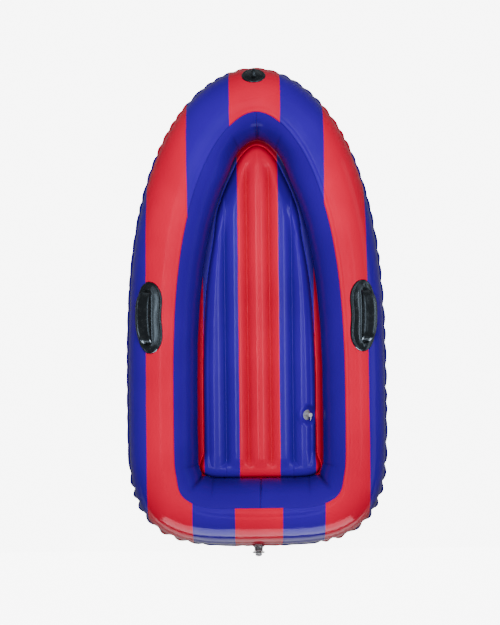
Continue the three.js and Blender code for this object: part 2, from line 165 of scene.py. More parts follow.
def grid_quads(rows, columns, ring, offset=0, flip=False):
    """The quads of a grid of points. In a ring the last row joins the first."""
    i = np.arange(rows if ring else rows - 1)[:, None]
    j = np.arange(columns - 1)[None, :]
    a = i * columns + j
    b = ((i + 1) % rows) * columns + j
    corners = [a, b, b + 1, a + 1]
    if flip:
        corners.reverse()
    return np.stack(corners, -1).reshape(-1, 4) + offset


def rim_of(quads):
    """The edges that only one of the quads has, each in that quad's direction."""
    edges = {}
    for quad in quads.tolist():
        for a, b in zip(quad, quad[1:] + quad[:1]):
            if edges.pop((b, a), None) is None:
                edges[a, b] = True
    return np.array(list(edges))


def edge_quads(rows, columns, ring, count):
    """The quads that close a sheet's edges: along its first and its last column and, if it
    is no ring, along its first and its last row."""
    i = np.arange(rows if ring else rows - 1)
    after = (i + 1) % rows
    end = columns - 1
    start = [i * columns, i * columns + count, after * columns + count, after * columns]
    finish = [i * columns + end, after * columns + end, after * columns + end + count,
              i * columns + end + count]
    quads = [np.stack(start, -1), np.stack(finish, -1)]
    if not ring:
        j = np.arange(columns - 1)
        base = (rows - 1) * columns
        quads.append(np.stack([j, j + 1, j + 1 + count, j + count], -1))
        quads.append(np.stack([base + j, base + j + count, base + j + 1 + count,
                               base + j + 1], -1))
    return quads


def lip_faces(face_count, rows, columns, ring, lip_columns):
    """1 for the faces of the first columns, on both sides and along the edge, and else 0."""
    spans = rows if ring else rows - 1
    side = np.tile(np.arange(columns - 1) < lip_columns, spans)
    both = 2 * len(side)
    kinds = np.zeros(face_count, int)
    kinds[:both] = np.tile(side, 2)
    kinds[both: both + spans] = 1
    return kinds


def shell(name, face, back, materials, ring=False, lip_columns=0, shade=None, hole=None):
    """A closed thin sheet from its two faces, each a grid of points. The first columns
    may take the second material. shade is painted shade: it darkens the film's colour where
    it is folded or hollow. hole is the quads to leave out."""
    rows, columns = face.shape[:2]
    count = rows * columns
    quads = [grid_quads(rows, columns, ring), grid_quads(rows, columns, ring, count, True)]
    if hole is not None:
        rim = rim_of(quads[0][hole.ravel()])
        quads = [side[~hole.ravel()] for side in quads]
        quads.append(np.concatenate([rim, rim[:, ::-1] + count], 1))
    faces = np.concatenate(quads + edge_quads(rows, columns, ring, count))
    points = np.concatenate([face.reshape(-1, 3), back.reshape(-1, 3)])
    kinds = None
    if lip_columns:
        kinds = lip_faces(len(faces), rows, columns, ring, lip_columns)
    if signed_volume(points, faces) < 0:
        faces = faces[:, ::-1]
    obj = make_object(name, points, faces.tolist(), materials, kinds)
    # Painted shade for each point of the face: 1 keeps the colour, less darkens it.
    tone = np.ones(2 * count)
    if shade is not None:
        tone[:count] = np.broadcast_to(shade, face.shape[:2]).ravel()
    layer = obj.data.attributes.new("shade", "FLOAT", "POINT")
    layer.data.foreach_set("value", tone.astype(np.float32))
    return obj


def signed_volume(points, quads):
    """Six times the volume inside the quads: below 0 if they face inwards."""
    a, b, c, d = (points[quads[:, k]] for k in range(4))
    one = np.einsum("ij,ij->i", a, np.cross(b, c))
    two = np.einsum("ij,ij->i", a, np.cross(c, d))
    return (one + two).sum()


# ---- materials --------------------------------------------------------------------------


class Shader:
    """Short calls for building a node material."""

    def __init__(self, name):
        self.material = bpy.data.materials.new(name)
        self.material.use_nodes = True
        self.tree = self.material.node_tree
        self.surface = self.tree.nodes["Principled BSDF"]
        coordinates = self.add("ShaderNodeTexCoord")
        self.position = coordinates.outputs["Object"]

    def add(self, kind, **settings):
        node = self.tree.nodes.new(kind)
        for key, value in settings.items():
            setattr(node, key, value)
        return node

    def join(self, value, socket):
        if isinstance(value, (int, float)):
            socket.default_value = value
        elif isinstance(value, (tuple, list)):
            socket.default_value = (*value, 1)[: len(socket.default_value)]
        else:
            self.tree.links.new(value, socket)

    def math(self, operation, *values, clamp=False):
        node = self.add("ShaderNodeMath", operation=operation, use_clamp=clamp)
        for socket, value in zip(node.inputs, values):
            self.join(value, socket)
        return node.outputs[0]

    def step(self, value, low, high):
        """0 below low and 1 above high, smooth between."""
        node = self.add("ShaderNodeMapRange", interpolation_type="SMOOTHSTEP")
        self.join(value, node.inputs["Value"])
        self.join(low, node.inputs["From Min"])
        self.join(high, node.inputs["From Max"])
        return node.outputs["Result"]

    def mix(self, share, one, other, blend="MIX"):
        node = self.add("ShaderNodeMix", data_type="RGBA", blend_type=blend)
        self.join(share, node.inputs[0])
        self.join(one, node.inputs[6])
        self.join(other, node.inputs[7])
        return node.outputs[2]

    def noise(self, scale, detail=3.0, stretch=(1, 1, 1)):
        mapping = self.add("ShaderNodeMapping")
        self.join(self.position, mapping.inputs["Vector"])
        mapping.inputs["Scale"].default_value = stretch
        node = self.add("ShaderNodeTexNoise")
        self.join(mapping.outputs[0], node.inputs["Vector"])
        node.inputs["Scale"].default_value = scale
        node.inputs["Detail"].default_value = detail
        return node.outputs["Fac"]

    def bump(self, height, strength, distance, below=None):
        node = self.add("ShaderNodeBump")
        node.inputs["Strength"].default_value = strength
        node.inputs["Distance"].default_value = distance
        self.join(height, node.inputs["Height"])
        if below is not None:
            self.join(below, node.inputs["Normal"])
        return node.outputs["Normal"]

    def set(self, **values):
        for key, value in values.items():
            self.join(value, self.surface.inputs[key.replace("_", " ")])


RED = (0.88, 0.001, 0.045)
BLUE = (0.038, 0.0, 0.40)
RED_SHEEN = (1.0, 0.22, 0.28)  # the films' reflections take on some of their colour
BLUE_SHEEN = (0.42, 0.44, 1.0)
PRINT_WOBBLE = 0.004  # metres by which the print's edges wander
PRINT_BLUR = 0.0004  # metres over which its colours change


def stripe_mask(s, stripes, centre):
    """1 where the print is red. Stripes are (inner, outer) edges, each a half width in mm
    at the boat's middle with its growth towards the bow."""
    split = s.add("ShaderNodeSeparateXYZ")
    s.join(s.position, split.inputs[0])
    wobble = s.math("MULTIPLY", s.math("SUBTRACT", s.noise(9, 2), 0.5), PRINT_WOBBLE)
    sideways = s.math("SUBTRACT", split.outputs["X"], centre * MM)
    across = s.math("ADD", s.math("ABSOLUTE", sideways), wobble)
    red = None
    for inner, outer in stripes:
        mask = 1.0
        for (width, growth), sign in ((inner, 1), (outer, -1)):
            edge = s.math("MULTIPLY_ADD", split.outputs["Y"], growth, width * MM)
            past = s.math("MULTIPLY", s.math("SUBTRACT", across, edge), sign)
            mask = s.math("MULTIPLY", mask, s.step(past, -PRINT_BLUR, PRINT_BLUR))
        red = mask if red is None else s.math("MAXIMUM", red, mask)
    return red


def vinyl(name, stripes=None, dark=1.0, centre=0.0, gloss=0.25):
    """Glossy PVC film, plain blue or with red stripes. dark scales its whole colour down
    as painted shade, and its shade attribute paints shade into folds and hollows.
    """
    s = Shader(name)
    colour = BLUE
    sheen = BLUE_SHEEN
    if stripes:
        red = stripe_mask(s, stripes, centre)
        colour = s.mix(red, BLUE, RED)
        sheen = s.mix(red, BLUE_SHEEN, RED_SHEEN)
    # Tone that differs at random, times dark, which is painted shade where it is below 1.
    cloud = s.step(s.noise(3.5, 2), 0.3, 0.75)
    shade = s.mix(cloud, (0.9 * dark,) * 3, (1.06 * dark,) * 3)
    colour = s.mix(1.0, colour, shade, "MULTIPLY")
    # Painted shade: the shade attribute darkens the colour in folds and hollows.
    hollow = s.add("ShaderNodeAttribute", attribute_name="shade").outputs["Fac"]
    colour = s.mix(hollow, (0, 0, 0), colour)
    rough = s.math("MULTIPLY_ADD", s.noise(14, 3), 0.10, 0.09)
    grain = s.bump(s.noise(420, 2), 0.10, 0.0004)
    soft = s.bump(s.noise(26, 2), 0.16, 0.004, grain)
    s.set(Base_Color=colour, Roughness=rough, Normal=soft, Specular_IOR_Level=gloss, IOR=1.5,
          Specular_Tint=sheen)
    return s.material


def moulded(name, colour, roughness, grain=0.05, gloss=0.5, index=1.5, sheen=(1, 1, 1)):
    """Soft moulded PVC with a fine skin and a few rubbed places."""
    s = Shader(name)
    rub = s.step(s.noise(60, 4), 0.42, 0.75)
    tone = s.mix(rub, colour, tuple(min(1, 1.5 * c + 0.004) for c in colour))
    rough = s.math("MULTIPLY_ADD", rub, 0.12, roughness)
    fine = s.bump(s.noise(900, 2), grain, 0.0003)
    broad = s.bump(s.noise(70, 2), 0.08, 0.001, fine)
    s.set(Base_Color=tone, Roughness=rough, Normal=broad, Specular_IOR_Level=gloss, IOR=index,
          Specular_Tint=sheen)
    return s.material


def clear_plastic(name, tint, roughness=0.12):
    """Moulded PVC that lets light through, a little hazy."""
    s = Shader(name)
    haze = s.mix(s.noise(40, 2), tint, tuple(0.86 * c for c in tint))
    rough = s.math("MULTIPLY_ADD", s.noise(90, 2), 0.08, roughness)
    skin = s.bump(s.noise(300, 2), 0.12, 0.0004)
    s.set(Base_Color=haze, Roughness=rough, Normal=skin, Transmission_Weight=0.72, IOR=1.45)
    return s.material


# The red stripes' edges. The middle one's inner edge is negative, so it has no gap.
NO_GAP = (-50, 0)
CENTRE = (NO_GAP, (92, 0.0035))
SIDE_INNER_EDGE = (252, 0.006)
SIDE = (SIDE_INNER_EDGE, (413.5, -0.005))
LIP_SIDE = (SIDE_INNER_EDGE, (372, 0.0))
MAT_CENTRE = (NO_GAP, (79, 0))
MAT_SIDE = ((217, 0), (600, 0))  # runs out past the mat's edge

hull_striped = vinyl("striped_vinyl", [CENTRE, SIDE], centre=2)
# Painted shade: dark=0.55 paints the lip's film darker, for the shade on the lip where it juts
# out and droops at the weld.
hull_lip = vinyl("lip_vinyl", [CENTRE, LIP_SIDE], dark=0.55, gloss=0.1)
floor_striped = vinyl("floor_vinyl", [MAT_CENTRE, MAT_SIDE], centre=MAT_DRIFT, gloss=0.85)
plain_blue = vinyl("blue_vinyl", gloss=0.07)
black_pvc = moulded("black_moulding", (0.007, 0.008, 0.009), 0.18, gloss=1.0, index=1.65,
                    sheen=(0.62, 0.82, 1.0))
black_rubber = moulded("black_rubber", (0.012, 0.012, 0.013), 0.42)
clear_pvc = clear_plastic("clear_moulding", (0.70, 0.70, 0.74))
# The stern valve's neck: grey clear PVC, tinted far darker, which is painted shade round the
# neck's foot on the tube.
neck_grey_and_shadow_pvc = clear_plastic("neck_grey_and_shadow_moulding", (0.20, 0.18, 0.21))
frosted_pvc = clear_plastic("frosted_moulding", (0.92, 0.94, 0.98))
white_pvc = moulded("white_moulding", (0.76, 0.79, 0.86), 0.22)


# ---- the air tube's shape ---------------------------------------------------------------


def plan_points(curve, t):
    """Points of a plan curve and their outward normals; t runs 0 at the bow tip, 1 at the
    widest place and 2 in the middle of the stern."""
    fore = t < 1
    end = np.where(fore[:, None], curve["bow"], curve["stern"])
    length = end[:, 0] - curve["widest_y"]
    angle = np.abs(1 - t) * (math.pi / 2)
    across = np.maximum(np.cos(angle), 0) ** (2 / end[:, 1])
    along = np.sin(angle) ** (2 / end[:, 2])
    normal = np.stack([end[:, 1] * across ** (end[:, 1] - 1) / curve["beam"],
                       end[:, 2] * along ** (end[:, 2] - 1) / length], -1)
    point = np.stack([curve["beam"] * across, curve["widest_y"] + length * along], -1)
    return point, unit(normal)


def inside_curve(curve, p):
    """Whether points on the starboard side lie inside a plan curve."""
    fore = p[:, 1] > curve["widest_y"]
    end = np.where(fore[:, None], curve["bow"], curve["stern"])
    along = (p[:, 1] - curve["widest_y"]) / (end[:, 0] - curve["widest_y"])
    return (np.abs(p[:, 0]) / curve["beam"]) ** end[:, 1] + along ** end[:, 2] < 1


def travel(points):
    """Distance travelled along a line of points."""
    steps = np.linalg.norm(np.diff(points, axis=0), axis=1)
    return np.concatenate([[0], np.cumsum(steps)])


def half_sections(count):
    """Sections square on the inner wall, evenly spaced from the bow tip to the stern:
    centres, outward normals and half widths of the tube."""
    point, normal = plan_points(INNER_WALL, np.linspace(0, 2, 6001))
    near = np.zeros(len(point))
    far = np.full(len(point), 800.0)  # past the outer wall
    for _ in range(40):  # halves the gap until it is nothing
        middle = (near + far) / 2
        inside = inside_curve(OUTER_WALL, point + normal * middle[:, None])
        near = np.where(inside, middle, near)
        far = np.where(inside, far, middle)
    radius = near / 2
    centre = point + normal * radius[:, None]
    travelled = travel(centre)
    wanted = np.linspace(0, travelled[-1], count + 1)
    pick = [np.interp(wanted, travelled, v) for v in (*centre.T, *normal.T, radius)]
    return np.stack(pick[:2], -1), unit(np.stack(pick[2:4], -1)), pick[4]


def drift(cos):
    """How far starboard the skin stands: nothing at the outer weld, all of it opposite."""
    return DRIFT * (1 - cos) / 2


class Tube:
    """The ring of sections, and points on its skin."""

    def __init__(self, half_count):
        centre, normal, radius = half_sections(half_count)
        mirror = np.array([-1, 1])
        back = slice(-2, 0, -1)
        self.centre = np.concatenate([centre, centre[back] * mirror])
        self.normal = np.concatenate([normal, normal[back] * mirror])
        self.radius = np.concatenate([radius, radius[back]])
        lip = self.centre + self.normal * self.radius[:, None]
        self.step = np.linalg.norm(np.roll(lip, -1, 0) - lip, axis=1)

    def skin(self, rows, degrees, lift):
        """Points at section angles, raised by lift square to the skin. degrees and lift
        are arrays of rows by columns, or broadcast to it."""
        angle = np.radians(degrees)
        radius = self.radius[rows][:, None]
        cos, sin = np.cos(angle), np.sin(angle)
        out, up = cos / radius, sin / HALF_HEIGHT
        size = np.hypot(out, up)
        level = radius * cos + lift * out / size
        z = AXIS_Z + HALF_HEIGHT * sin + lift * up / size
        plan = self.centre[rows][:, None] + self.normal[rows][:, None] * level[..., None]
        plan[..., 0] += drift(cos)
        return np.concatenate([plan, z[..., None]], -1)


tube = Tube(HALF_RING)
all_rows = np.arange(STATIONS)
half_rows = slice(HALF_RING + 1)


def seam_pinches():
    """Along the outer weld: how deep the sheet is pinched in (0 to 1), its phase, and how
    strong the pinches are. They sit close together and deep at the bow and the stern's
    corners, where the weld bends, and are slight along the sides, least so to starboard."""
    outer = tube.centre + tube.normal * tube.radius[:, None]
    bow = smooth(outer[:, 1], 120, 640)
    corner = smooth(outer[:, 1], -540, -740) * smooth(np.abs(outer[:, 0]), 170, 290)
    starboard = smooth(outer[:, 0], 250, 420) * smooth(outer[:, 1], 420, 200)
    spacing = 76 - 24 * bow - 16 * corner
    phase = np.cumsum(tube.step / spacing)
    phase *= round(phase[-1] / 2) * 2 / phase[-1] * math.pi  # a whole number of waves
    phase += 1.1 * ring_noise(STATIONS, 3, 34)
    wave = 1 - np.abs(np.sin(phase))
    strength = 0.13 + 0.22 * bow + 0.9 * corner + 0.24 * starboard * (1 - corner)
    strength *= 0.85 + 0.45 * ring_noise(STATIONS, 5, 60)
    return wave, phase, np.maximum(strength, 0.06)


pinch, pinch_phase, force = seam_pinches()
undulation = ring_noise(STATIONS, 4, 30)


def seam_lift(arc):
    """How the pinches move the skin, by distance from the weld. arc is rows by columns."""
    deep = (7.0 * force * pinch ** 1.4)[:, None] * np.exp(-((arc / 30) ** 1.3))
    swell = (2.2 * force * (1 - pinch))[:, None] * bell(arc - 22, 20)
    crease = (2.6 * force * pinch ** 6)[:, None] * np.exp(-arc / 60)
    return swell - deep - crease


# Where the top panel meets the inner wall, in degrees, for each section.
top_seam = (TOP_SEAM - STERN_SEAM_TURN * smooth(-tube.centre[:, 1], 640, 735))[:, None]


def lip_columns(sign):
    """The welded lip: three columns of points from its edge to the tube. sign is 1 for the
    top sheet and -1 for the bottom one."""
    reach = FLANGE + 3 * force * (1 - pinch) - 8.5 * np.minimum(force, 1) * pinch ** 0.8
    inward = -6.0 * force * pinch ** 1.4
    wave = 2.0 * force * np.cos(pinch_phase)
    columns = []
    for share in (1.0, 0.6, 0.15):
        out = tube.radius + inward + share * reach
        z = AXIS_Z + sign * WELD_GAP / 2 + share * (wave - 1.2)
        plan = tube.centre + tube.normal * out[:, None]
        columns.append(np.concatenate([plan, z[:, None]], -1))
    return np.stack(columns, 1)


# Lengths round the section, from the weld: close together over the pinches.
NEAR_WELD = np.linspace(3, 40, 14)
TOP_ARCS = np.concatenate([NEAR_WELD, np.linspace(46, 262, 40)])
BOTTOM_ARCS = np.concatenate([NEAR_WELD, np.linspace(46, 325, 46)])


def tube_skin(name, node, sign, skin, inner):
    """The top sheet (sign 1) or the bottom one (sign -1), with its welded lip."""
    lip = lip_columns(sign)
    face = np.concatenate([lip + (0, 0, sign * FILM), skin], 1)
    back = np.concatenate([lip, inner], 1)
    obj = shell(name, face, back, [hull_striped, hull_lip], ring=True, lip_columns=2)
    return finish_piece(obj, "striped_vinyl", node)


def top_skin():
    """From the weld over the top to the inner wall, with the raised seam along its inner
    edge and the fold across the stern."""
    degrees = TOP_ARCS[None, :] / TOP_ARCS[-1] * top_seam
    arc = np.radians(degrees) * SECTION_RADIUS
    lift = seam_lift(arc) + undulation[:, None] * bell(arc - 130, 80)
    from_edge = np.radians(top_seam - degrees) * SECTION_RADIUS
    lift = lift + 1.3 * bell(from_edge - 4.5, 2.2) - bell(from_edge - 10, 3)
    stern = smooth(-tube.centre[:, 1], 700, 770)[:, None]
    x = tube.centre[:, 0][:, None]
    fold = 98 - 7 * (1 - (x / 260) ** 2)
    lift = lift - 2.2 * stern * bell((degrees - fold) * 2.3, 4) * smooth(np.abs(x), 300, 200)
    skin = tube.skin(all_rows, degrees, lift)
    inner = tube.skin(all_rows, degrees, lift - FILM)
    return tube_skin("tube_top_skin", "hull_top_panel", 1, skin, inner)


def bottom_skin():
    """From the weld under the boat to the wall's foot, pressed flat on the floor."""
    arcs = BOTTOM_ARCS / BOTTOM_ARCS[-1] * math.radians(360 - FOOT_SEAM) * SECTION_RADIUS
    degrees = 360 - np.degrees(arcs / SECTION_RADIUS)[None, :] + np.zeros((STATIONS, 1))
    lift = seam_lift(np.broadcast_to(arcs, degrees.shape))
    skin = tube.skin(all_rows, degrees, lift)
    inner = tube.skin(all_rows, degrees, lift - FILM)
    skin[..., 2] = np.maximum(skin[..., 2], 0)
    inner[..., 2] = np.maximum(inner[..., 2], FILM)
    return tube_skin("tube_bottom_skin", "hull_bottom_panel", -1, skin, inner)


def arch_distance(x, y):
    """Distance aft of the round arch that the cockpit makes at the bow."""
    return (639 - x ** 2 / 105 - y) / np.sqrt(1 + (x / 52.5) ** 2)


def bow_arch(x, y):
    """How far the wall stands outside its nominal curve to round the cockpit's bow."""
    return arch_distance(x, y) * smooth(y, 470, 560)


WALL_MIDDLE = 165  # degrees round the section


def wall_folds(rows, run, degrees, low):
    """The inner wall's folds: how far they move the skin, and how dark the painted shade
    along them is. run is the distance along the wall from the bow, and low is 1 where it
    can fold."""
    heading = np.degrees(np.arctan2(tube.normal[rows, 1], np.abs(tube.normal[rows, 0])))
    corner = run[np.argmin(np.abs(heading + 45))]
    # Each fold: its place along the wall, depth, width, and lean in mm for each degree.
    folds = [(corner, 12, 7, 0.0), (corner - 46, 2.5, 13, 0.10),
             (corner + 40, 2.2, 13, -0.10), (0, 1.5, 6, 0.0), (74, 3.0, 12, 0.35)]
    lift = np.zeros(degrees.shape)
    line = np.zeros(degrees.shape)
    for place, depth, width, lean in folds:
        away = np.abs(run[:, None] - place - lean * (degrees - WALL_MIDDLE))
        lift -= depth * low * np.exp(-away / width)
        # Painted shade: a thin dark line in the colour along each fold.
        line += min(depth / 12, 0.4) * low * bell(away, 4)
    from_stern = run[:, None] - run[-1]
    lift -= 2.5 * low * np.exp(-np.abs(from_stern) / 7)
    # Painted shade: dark lines at the wall's joins at the bow and the stern.
    line += 0.3 * low * bell(run[:, None], 3) + 0.35 * low * bell(from_stern, 4)
    return lift, line


def inner_wall(name, node, side):
    """One of the wall's two strips, from the bow to the stern. side is 1 to starboard."""
    rows = np.arange(HALF_RING + 1)
    if side < 0:
        rows = (-rows) % STATIONS
    start = top_seam[rows] - LAP
    degrees = start + (FOOT_SEAM + LAP - start) * np.linspace(0, 1, 56)[None, :]
    plan = tube.centre[rows] - tube.normal[rows] * tube.radius[rows][:, None]
    low = smooth(degrees, 116, 150) * smooth(degrees, FOOT_SEAM, 205)
    lift, line = wall_folds(rows, travel(plan), degrees, low)
    lift += 1.2 * undulation[rows][:, None] * bell(degrees - WALL_MIDDLE, 30)
    lift -= low * bow_arch(np.abs(plan[:, 0]), plan[:, 1])[:, None]
    depth = FILM + WELD_GAP
    skin = tube.skin(rows, degrees, lift - depth)
    inner = tube.skin(rows, degrees, lift - depth - FILM)
    for sheet in (skin, inner):  # each strip stays on its own side of the joints
        past = sheet[..., 0] - drift(np.cos(np.radians(degrees)))
        sheet[..., 0] += side * np.maximum(side * past, WELD_GAP) - past
    # Painted shade: the wall's colour is darker all over, darker still down to its foot, and
    # dark along its folds.
    shade = (0.82 - 0.36 * smooth(degrees, 125, 190)) * (1 - line)
    return finish_piece(shell(name, skin, inner, [plain_blue], shade=shade),
                        "blue_vinyl", node)


# ---- floor mat --------------------------------------------------------------------------

mat_reach = tube.radius * math.cos(math.radians(FOOT_SEAM)) + MAT_LAP
mat_edge = (tube.centre + tube.normal * mat_reach[:, None])[half_rows]


def edge_distance(points, batch=4000):
    """Distance in plan from each point to the mat's welded edge."""
    flat = np.abs(points.reshape(-1, 2) * (1, 0)) + points.reshape(-1, 2) * (0, 1)
    nearest = np.empty(len(flat))
    a = mat_edge[:-1]
    span = mat_edge[1:] - a
    size = (span ** 2).sum(1)
    for start in range(0, len(flat), batch):
        away = flat[start:start + batch, None] - a
        share = np.clip((away * span).sum(-1) / size, 0, 1)
        gap = np.linalg.norm(away - span * share[..., None], axis=-1)
        nearest[start:start + batch] = gap.min(1)
    return nearest.reshape(points.shape[:-1])


def mat_plan(lines=86, points=340):
    """Plan grid of the mat: each line at x runs from the stern edge to the bow edge."""
    margin = 1.5
    width = mat_edge[:, 0].max() - margin
    xs = np.concatenate([-np.linspace(width, margin, lines),
                         np.linspace(margin, width, lines)])
    widest = mat_edge[:, 0].argmax()
    bow = np.interp(np.abs(xs), mat_edge[: widest + 1, 0], mat_edge[: widest + 1, 1])
    after = mat_edge[widest:][::-1]
    stern = np.interp(np.abs(xs), after[:, 0], after[:, 1])
    share = np.linspace(0, 1, points)  # then closer together near both ends
    share = 0.5 + 0.5 * np.sin((share - 0.5) * math.pi * 0.86) / math.sin(0.43 * math.pi)
    ys = stern[:, None] + (bow - stern)[:, None] * share
    return np.stack([np.broadcast_to(xs[:, None], ys.shape), ys], -1)


def mat_height(plan, distance, valley, crest):
    """Height of an inflated face above the mat's seam, and the painted shade in its film's
    colour, darker in hollows and near the edge. Domed channels run along the mat, valley high
    between them and crest high along their middles. Near the welded edge, which lies
    distance away, they give way to a shoulder."""
    x, y = np.abs(plan[..., 0]), plan[..., 1]
    u = x / (2 * CHANNEL_HALF)
    u = np.clip(2 * np.abs(u - np.round(u)), 0, 1) * 0.985  # 0 mid channel, 1 at a web
    dome = (np.sqrt(1 - u * u) - 0.173) / 0.827
    webbed = smooth(distance, 56, 96)  # the webs stop short of the edge
    channels = valley + (crest - valley) * dome
    plain = valley + (crest - valley) * 0.78  # where no web holds the faces together
    outermost = valley + (crest - valley) * np.maximum(dome, 1 - webbed)
    body = plain + (channels - plain) * webbed
    body = np.where(x > 3 * CHANNEL_HALF, outermost, body)
    at_bow = smooth(y, 500, 580)
    at_stern = smooth(y, -560, -645)
    distance = distance + (24 + arch_distance(x, y) - distance) * at_bow
    gap = 46 - 14 * smooth(y, 240, 400) - 29 * at_stern  # from the edge to the shoulder
    shoulder = 44 + 14 * smooth(y, 400, 520) - 8 * at_stern  # how wide it is
    t = np.clip((distance - gap) / shoulder, 0, 1)
    rise = np.sqrt(1 - (1 - t) ** 2)
    crease = 1.8 * bell(distance - gap + 1, 3)
    rim = 1.6 * bell(distance - 8, 5)
    # Painted shade: darker towards the webs, down the shoulder, near the welded edge, and on the
    # slopes beside the middle at the bow.
    tone = (1 - 0.30 * webbed * u ** 3) * (1 - 0.45 * smooth(t, 0.5, 0.05))
    tone *= 1 - 0.25 * smooth(distance, 34, 22)
    tone *= 1 - 0.35 * smooth(y, 330, 420) * smooth(distance, 100, 55) * smooth(x, 70, 84)
    return body * rise - crease + rim, tone


def seat_valve(plan, z):
    """Lays the mat's top against the underside of the floor valve's bent disc, and finds
    the quads over the valve's bore."""
    origin, _, _, axis = valve_axes(*FLOOR_VALVE)
    away = plan - origin[:2]
    slope = axis[0] / axis[2]
    bend = (away[..., 0] / axis[2]) ** 2 / (2 * SEAT_BEND_RADIUS)
    seat = origin[2] - slope * away[..., 0] - bend - SEAT_DROP
    near = smooth(np.linalg.norm(away, axis=-1), 46, 21)
    from_axis = np.hypot(away[..., 0] / axis[2], away[..., 1])
    middle = (from_axis[:-1, :-1] + from_axis[1:, 1:]) / 2
    return z + (seat - z) * near, middle < VALVE_HOLE


def floor_mat():
    """The mat's two sheets. The upper one has the floor valve's hole."""
    plan = mat_plan()
    distance = edge_distance(plan)
    sheets = (("floor_mat_top", "floor_top_sheet", 1, 14, 39),
              ("floor_mat_underside", "floor_bottom_sheet", -1, 24, 43))
    moved = plan + (MAT_DRIFT, 0)
    for name, node, sign, valley, crest in sheets:
        height, tone = mat_height(plan, distance, valley, crest)
        z = MAT_SEAM_Z + sign * (WELD_GAP / 2 + height)
        hole = None
        if sign > 0:
            z, hole = seat_valve(moved, z)
        near = np.concatenate([moved, z[..., None]], -1)
        far = near + (0, 0, sign * FILM)
        obj = shell(name, far, near, [floor_striped], shade=tone, hole=hole)
        finish_piece(obj, "striped_vinyl", node)


# ---- fittings on the tube ---------------------------------------------------------------


def hull_top(x, y):
    """Height of the smooth tube over places in plan: each place is put between the two
    sections that it lies between, and then on the tube's oval."""
    p = np.stack(np.broadcast_arrays(np.abs(x), y), -1).astype(float)
    shape = p.shape[:-1]
    p = p.reshape(-1, 2)
    centre, normal = tube.centre[half_rows], tube.normal[half_rows]
    away = p[:, None] - centre
    side = normal[:, 0] * away[..., 1] - normal[:, 1] * away[..., 0]
    level = (away * normal).sum(-1)
    side = np.where(np.abs(level) > FAR_SECTION, -1e9, side)
    cross = (side[:, :-1] <= 0) & (side[:, 1:] > 0)
    i = np.where(cross.any(1), cross.argmax(1), np.abs(side).argmin(1))
    i = np.clip(i, 0, HALF_RING - 1)
    take = np.arange(len(p))
    before, after = np.abs(side[take, i]), np.abs(side[take, i + 1])
    share = np.clip(before / (before + after + 1e-9), 0, 1)
    offset = level[take, i] * (1 - share) + level[take, i + 1] * share
    radius = tube.radius[i] * (1 - share) + tube.radius[i + 1] * share
    ratio = np.clip(offset / radius, -0.999, 0.999)
    return (AXIS_Z + HALF_HEIGHT * np.sqrt(1 - ratio ** 2)).reshape(shape)


def above_hull(x, y, height, step=3.0):
    """Points at heights above the tube's skin, measured square to it."""
    x, y, height = np.broadcast_arrays(x, y, height)
    slope_x = (hull_top(x + step, y) - hull_top(x - step, y)) / (2 * step)
    slope_y = (hull_top(x, y + step) - hull_top(x, y - step)) / (2 * step)
    normal = unit(np.stack([-slope_x, -slope_y, np.ones(x.shape)], -1))
    return np.stack([x, y, hull_top(x, y)], -1) + normal * height[..., None]


def rolled_edge(inset, radius):
    """A quarter round, from 0 at the edge to 1 at radius inside it."""
    return np.sqrt(np.clip(1 - (1 - np.minimum(inset, radius) / radius) ** 2, 0, 1))


def fitting(name, node, x, y, height, ring=False):
    """A black moulding that lies on the tube, height thick."""
    top = above_hull(x, y, FITTING_GAP + height)
    under = above_hull(x, y, FITTING_GAP + 0 * height)
    obj = shell(name, top, under, [black_pvc], ring=ring)
    return finish_piece(obj, "black_moulding", node)


def handle_foot(name, node, side):
    """The kidney-shaped foot: a rolled rim, a broad ridge inboard and a pocket under each
    end of the grip. s runs along it from -1 to 1, and f across it from inboard."""
    s = np.sin(np.radians(np.linspace(-86, 86, 150)))[:, None]
    f = (0.5 - 0.5 * np.cos(np.linspace(0, math.pi, 72)))[None, :]
    outboard = 54 * np.sqrt(1 - s * s)
    waist = np.where(np.abs(s) < 0.75, 9 * np.cos(s / 0.75 * math.pi / 2) ** 2, 0)
    inboard = 55 * (1 - np.abs(s) ** 3.0) ** 0.48 - waist
    offset = -inboard + (inboard + outboard) * f
    along = s * FOOT_HALF_LENGTH
    from_side = np.minimum(f, 1 - f) * (inboard + outboard)
    inset = np.minimum(from_side, (1 - np.abs(s)) * FOOT_HALF_LENGTH * 2.2)
    edge = rolled_edge(inset, 7)
    rim = 1.5 * bell(inset - 7, 3.5) - 1.1 * bell(inset - 12, 2.5)
    ridge = 12 * smooth(offset, 8 - inboard, -9) * smooth(offset, 4, -8)
    ridge = ridge * smooth(np.abs(s), 0.97, 0.62)
    boss = 5 * bell(np.hypot((np.abs(along) - 110) / 15, (offset - 6) / 26), 1)
    hole = np.hypot((np.abs(along) - 88) / 13, (offset - 4) / 15)
    pocket = 5.5 * np.exp(-(hole ** 4))
    trough = 2.4 * bell(offset - 10, 14) * smooth(np.abs(s), 0.7, 0.5)
    height = edge * (4.6 + rim + ridge + boss - pocket - trough)
    x = side * (HANDLE_X + offset)
    y = HANDLE_Y - HANDLE_AFT + along + 0 * offset
    return fitting(name, node, x, y, np.maximum(height, 0.4))


